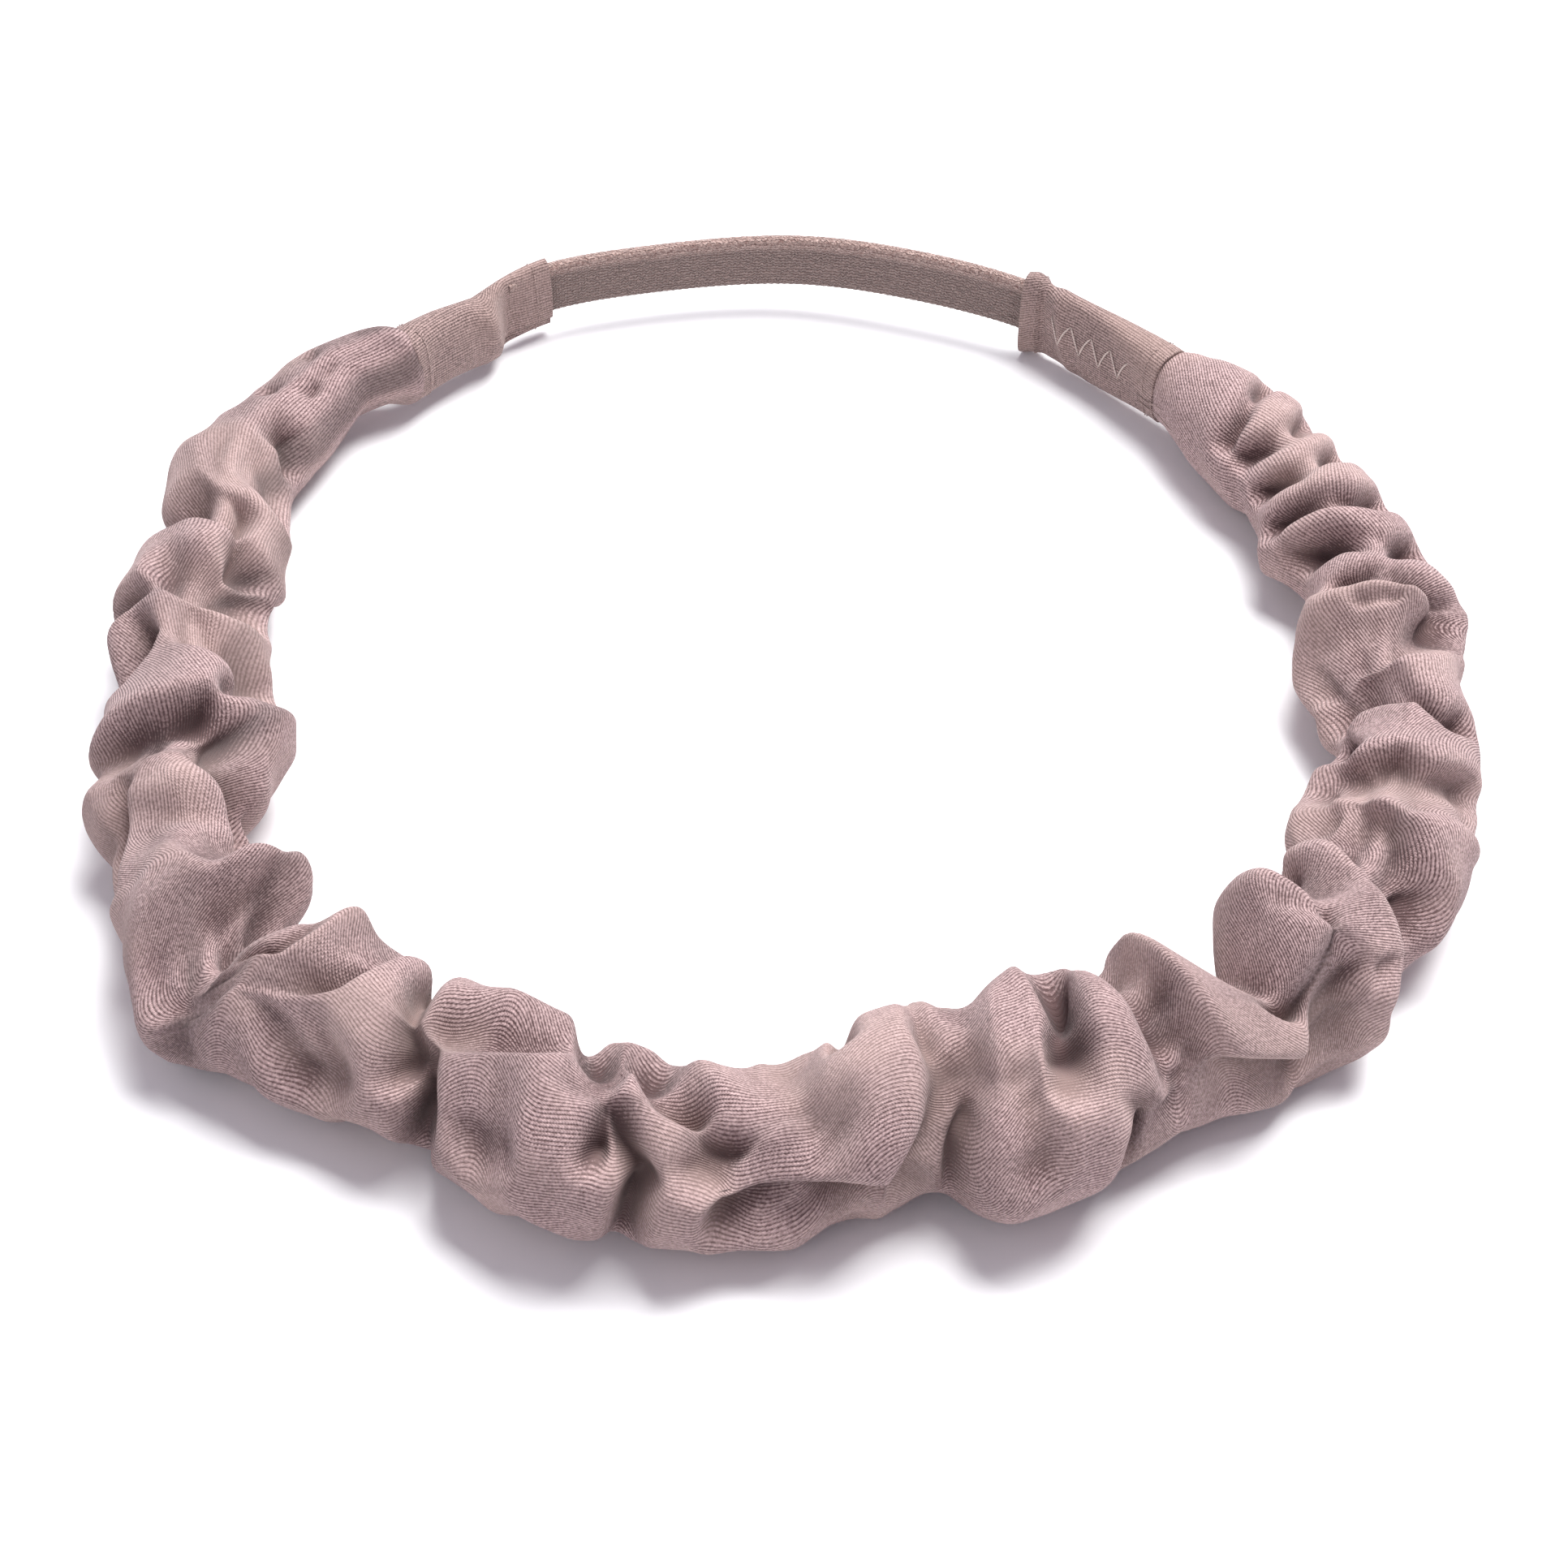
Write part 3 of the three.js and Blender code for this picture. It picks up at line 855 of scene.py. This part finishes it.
def stitch_rows(loop, side, material):
    """The rows that hold the strap in a sleeve, and the sleeve on the cover.

    They run round the section and leave out its top and bottom edges.
    """
    name = "right" if side > 0 else "left"
    strap_row, hem_row = [], []
    for turn in (*range(-165, -10, 11), *range(22, 170, 11)):
        for row, share in ((strap_row, 0.10), (hem_row, 0.955)):
            ends = [sleeve_place(loop, side, np.array(share), np.radians(turn + step), 0.02)
                    for step in (-3.4, 3.4)]
            lifted = sleeve_place(loop, side, np.array(share), np.radians(turn), 0.14)
            row.append(stitch(*ends, lifted - np.mean(ends, axis=0)))
    if side > 0:
        for height in (6.6, 9.2, 11.8):
            ends = [loop.place(np.array(38.6 + step), -0.85, height) for step in (-0.5, 0.5)]
            strap_row.append(stitch(*ends, np.array([0, -0.25, 0.1])))
        hem_row += loose_tails(loop)
    threads(f"{name}_strap_stitch_thread", strap_row, STITCH_THICKNESS, material,
            f"{name}_strap_stitches")
    threads(f"{name}_hem_stitch_thread", hem_row, STITCH_THICKNESS, material,
            f"{name}_hem_stitches")


def cover_face(loop, s, degrees, lift=0.4):
    """A point just off the cover's outline, folds left out."""
    radius, shift = cover_form(s)
    reach, angle = radius + lift, math.radians(degrees)
    height = cover_centre(s - SLEEVE_END, radius) + reach * math.cos(angle)
    return loop.place(np.array(s), shift + reach * math.sin(angle), height)


def loose_tails(loop):
    """Two thread ends left at the right sleeve's hem, which lie along the cover."""
    runs = []
    for start, places in (
        (-98, [(73, -92), (74.5, -86)]),
        (-108, [(74, -104), (77, -100), (80, -92)]),
    ):
        knots = [sleeve_place(loop, 1, np.array(share), np.radians(start), 0.15)
                 for share in (0.9, 1.0)]
        knots += [cover_face(loop, s, degrees) for s, degrees in places]
        share = np.linspace(0, 1, len(knots))
        fine = np.linspace(0, 1, 24)
        runs.append(np.stack([np.interp(fine, share, axis) for axis in np.array(knots).T], -1))
    return runs


def sleeve_motif(loop, material):
    """A plain zigzag of stitches along the right sleeve."""
    corners = [(0.22 + 0.075 * i, -96 if i % 2 else -70) for i in range(9)]
    runs = []
    for (share, turn), (next_share, next_turn) in zip(corners, corners[1:]):
        ends = [sleeve_place(loop, 1, np.array(at), np.radians(angle), 0.04)
                for at, angle in ((share, turn), (next_share, next_turn))]
        middle = sleeve_place(loop, 1, np.array((share + next_share) / 2),
                              np.radians((turn + next_turn) / 2), 0.2)
        runs.append(stitch(*ends, middle - np.mean(ends, axis=0)))
    threads("sleeve_zigzag_thread", runs, MOTIF_THICKNESS, material, "sleeve_motif")


# ------------------------------------------------------------------------------------- the stage


FLOOR_REACH = 4.0
CAMERA_ELEVATION = math.radians(48)
CAMERA_DISTANCE = 0.579
CAMERA_LENS = 91.3


def studio(target):
    mesh = bpy.data.meshes.new("studio_floor")
    corners = [(x * FLOOR_REACH, y * FLOOR_REACH, 0)
               for x, y in ((-1, -1), (1, -1), (1, 1), (-1, 1))]
    mesh.from_pydata(corners, [], [(0, 1, 2, 3)])
    floor = bpy.data.objects.new("studio_floor", mesh)
    bpy.context.collection.objects.link(floor)
    mesh.materials.append(floor_material())
    world = bpy.data.worlds.new("studio_world")
    world.use_nodes = True
    background = world.node_tree.nodes["Background"]
    background.inputs[0].default_value = (0.92, 0.86, 1.0, 1.0)
    background.inputs[1].default_value = 0.42
    bpy.context.scene.world = world
    for name, place, size, power in (
        ("key_light", (0.42, 0.55, 1.60), 1.1, 60.0),
        ("fill_light", (-0.6, -0.5, 0.7), 0.9, 1.2),
    ):
        light = bpy.data.lights.new(name, "AREA")
        light.energy = power
        light.size = size
        lamp = bpy.data.objects.new(name, light)
        lamp.location = place
        lamp.rotation_euler = (target - Vector(place)).to_track_quat("-Z", "Y").to_euler()
        bpy.context.collection.objects.link(lamp)


def camera(target):
    data = bpy.data.cameras.new("camera")
    data.lens = CAMERA_LENS
    data.sensor_width = 36.0
    data.clip_start = 0.01
    view = Vector((0, math.cos(CAMERA_ELEVATION), -math.sin(CAMERA_ELEVATION)))
    eye = bpy.data.objects.new("camera", data)
    eye.location = target - view * CAMERA_DISTANCE
    eye.rotation_euler = view.to_track_quat("-Z", "Y").to_euler()
    bpy.context.collection.objects.link(eye)
    bpy.context.scene.camera = eye


def main():
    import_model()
    loop = Loop(frame_shift())
    jersey = knit_material("rose_jersey", WALE_PITCH, COURSE_PITCH, (0.115, 0.067, 0.066),
                           (0.65, 0.468, 0.458), (0.52, 0.38, 0.34), 0.11)
    band_knit = knit_material("band_fine_knit", 0.55, 0.5, (0.09, 0.058, 0.055),
                              (0.33, 0.23, 0.215), (0.25, 0.17, 0.15), 0.15)
    sleeve_knit = knit_material("sleeve_fine_knit", 0.5, 0.5, (0.09, 0.058, 0.052),
                                (0.51, 0.365, 0.34), (0.39, 0.275, 0.24), 0.1)
    dusty_thread = thread_material("dusty_thread", (0.30, 0.21, 0.19), (0.52, 0.39, 0.36))
    pale_thread = thread_material("pale_thread", (0.42, 0.32, 0.29), (0.72, 0.61, 0.56))
    gathered_cover(loop, jersey)
    inner_band(loop, band_knit)
    back_elastic(loop)
    for side in (-1, 1):
        end_sleeve(loop, side, sleeve_knit)
        stitch_rows(loop, side, dusty_thread)
    sleeve_motif(loop, pale_thread)
    target = Vector((-0.0008, -0.0208, 0.0139))
    studio(target)
    camera(target)
    bpy.context.scene.view_settings.view_transform = "Standard"


main()
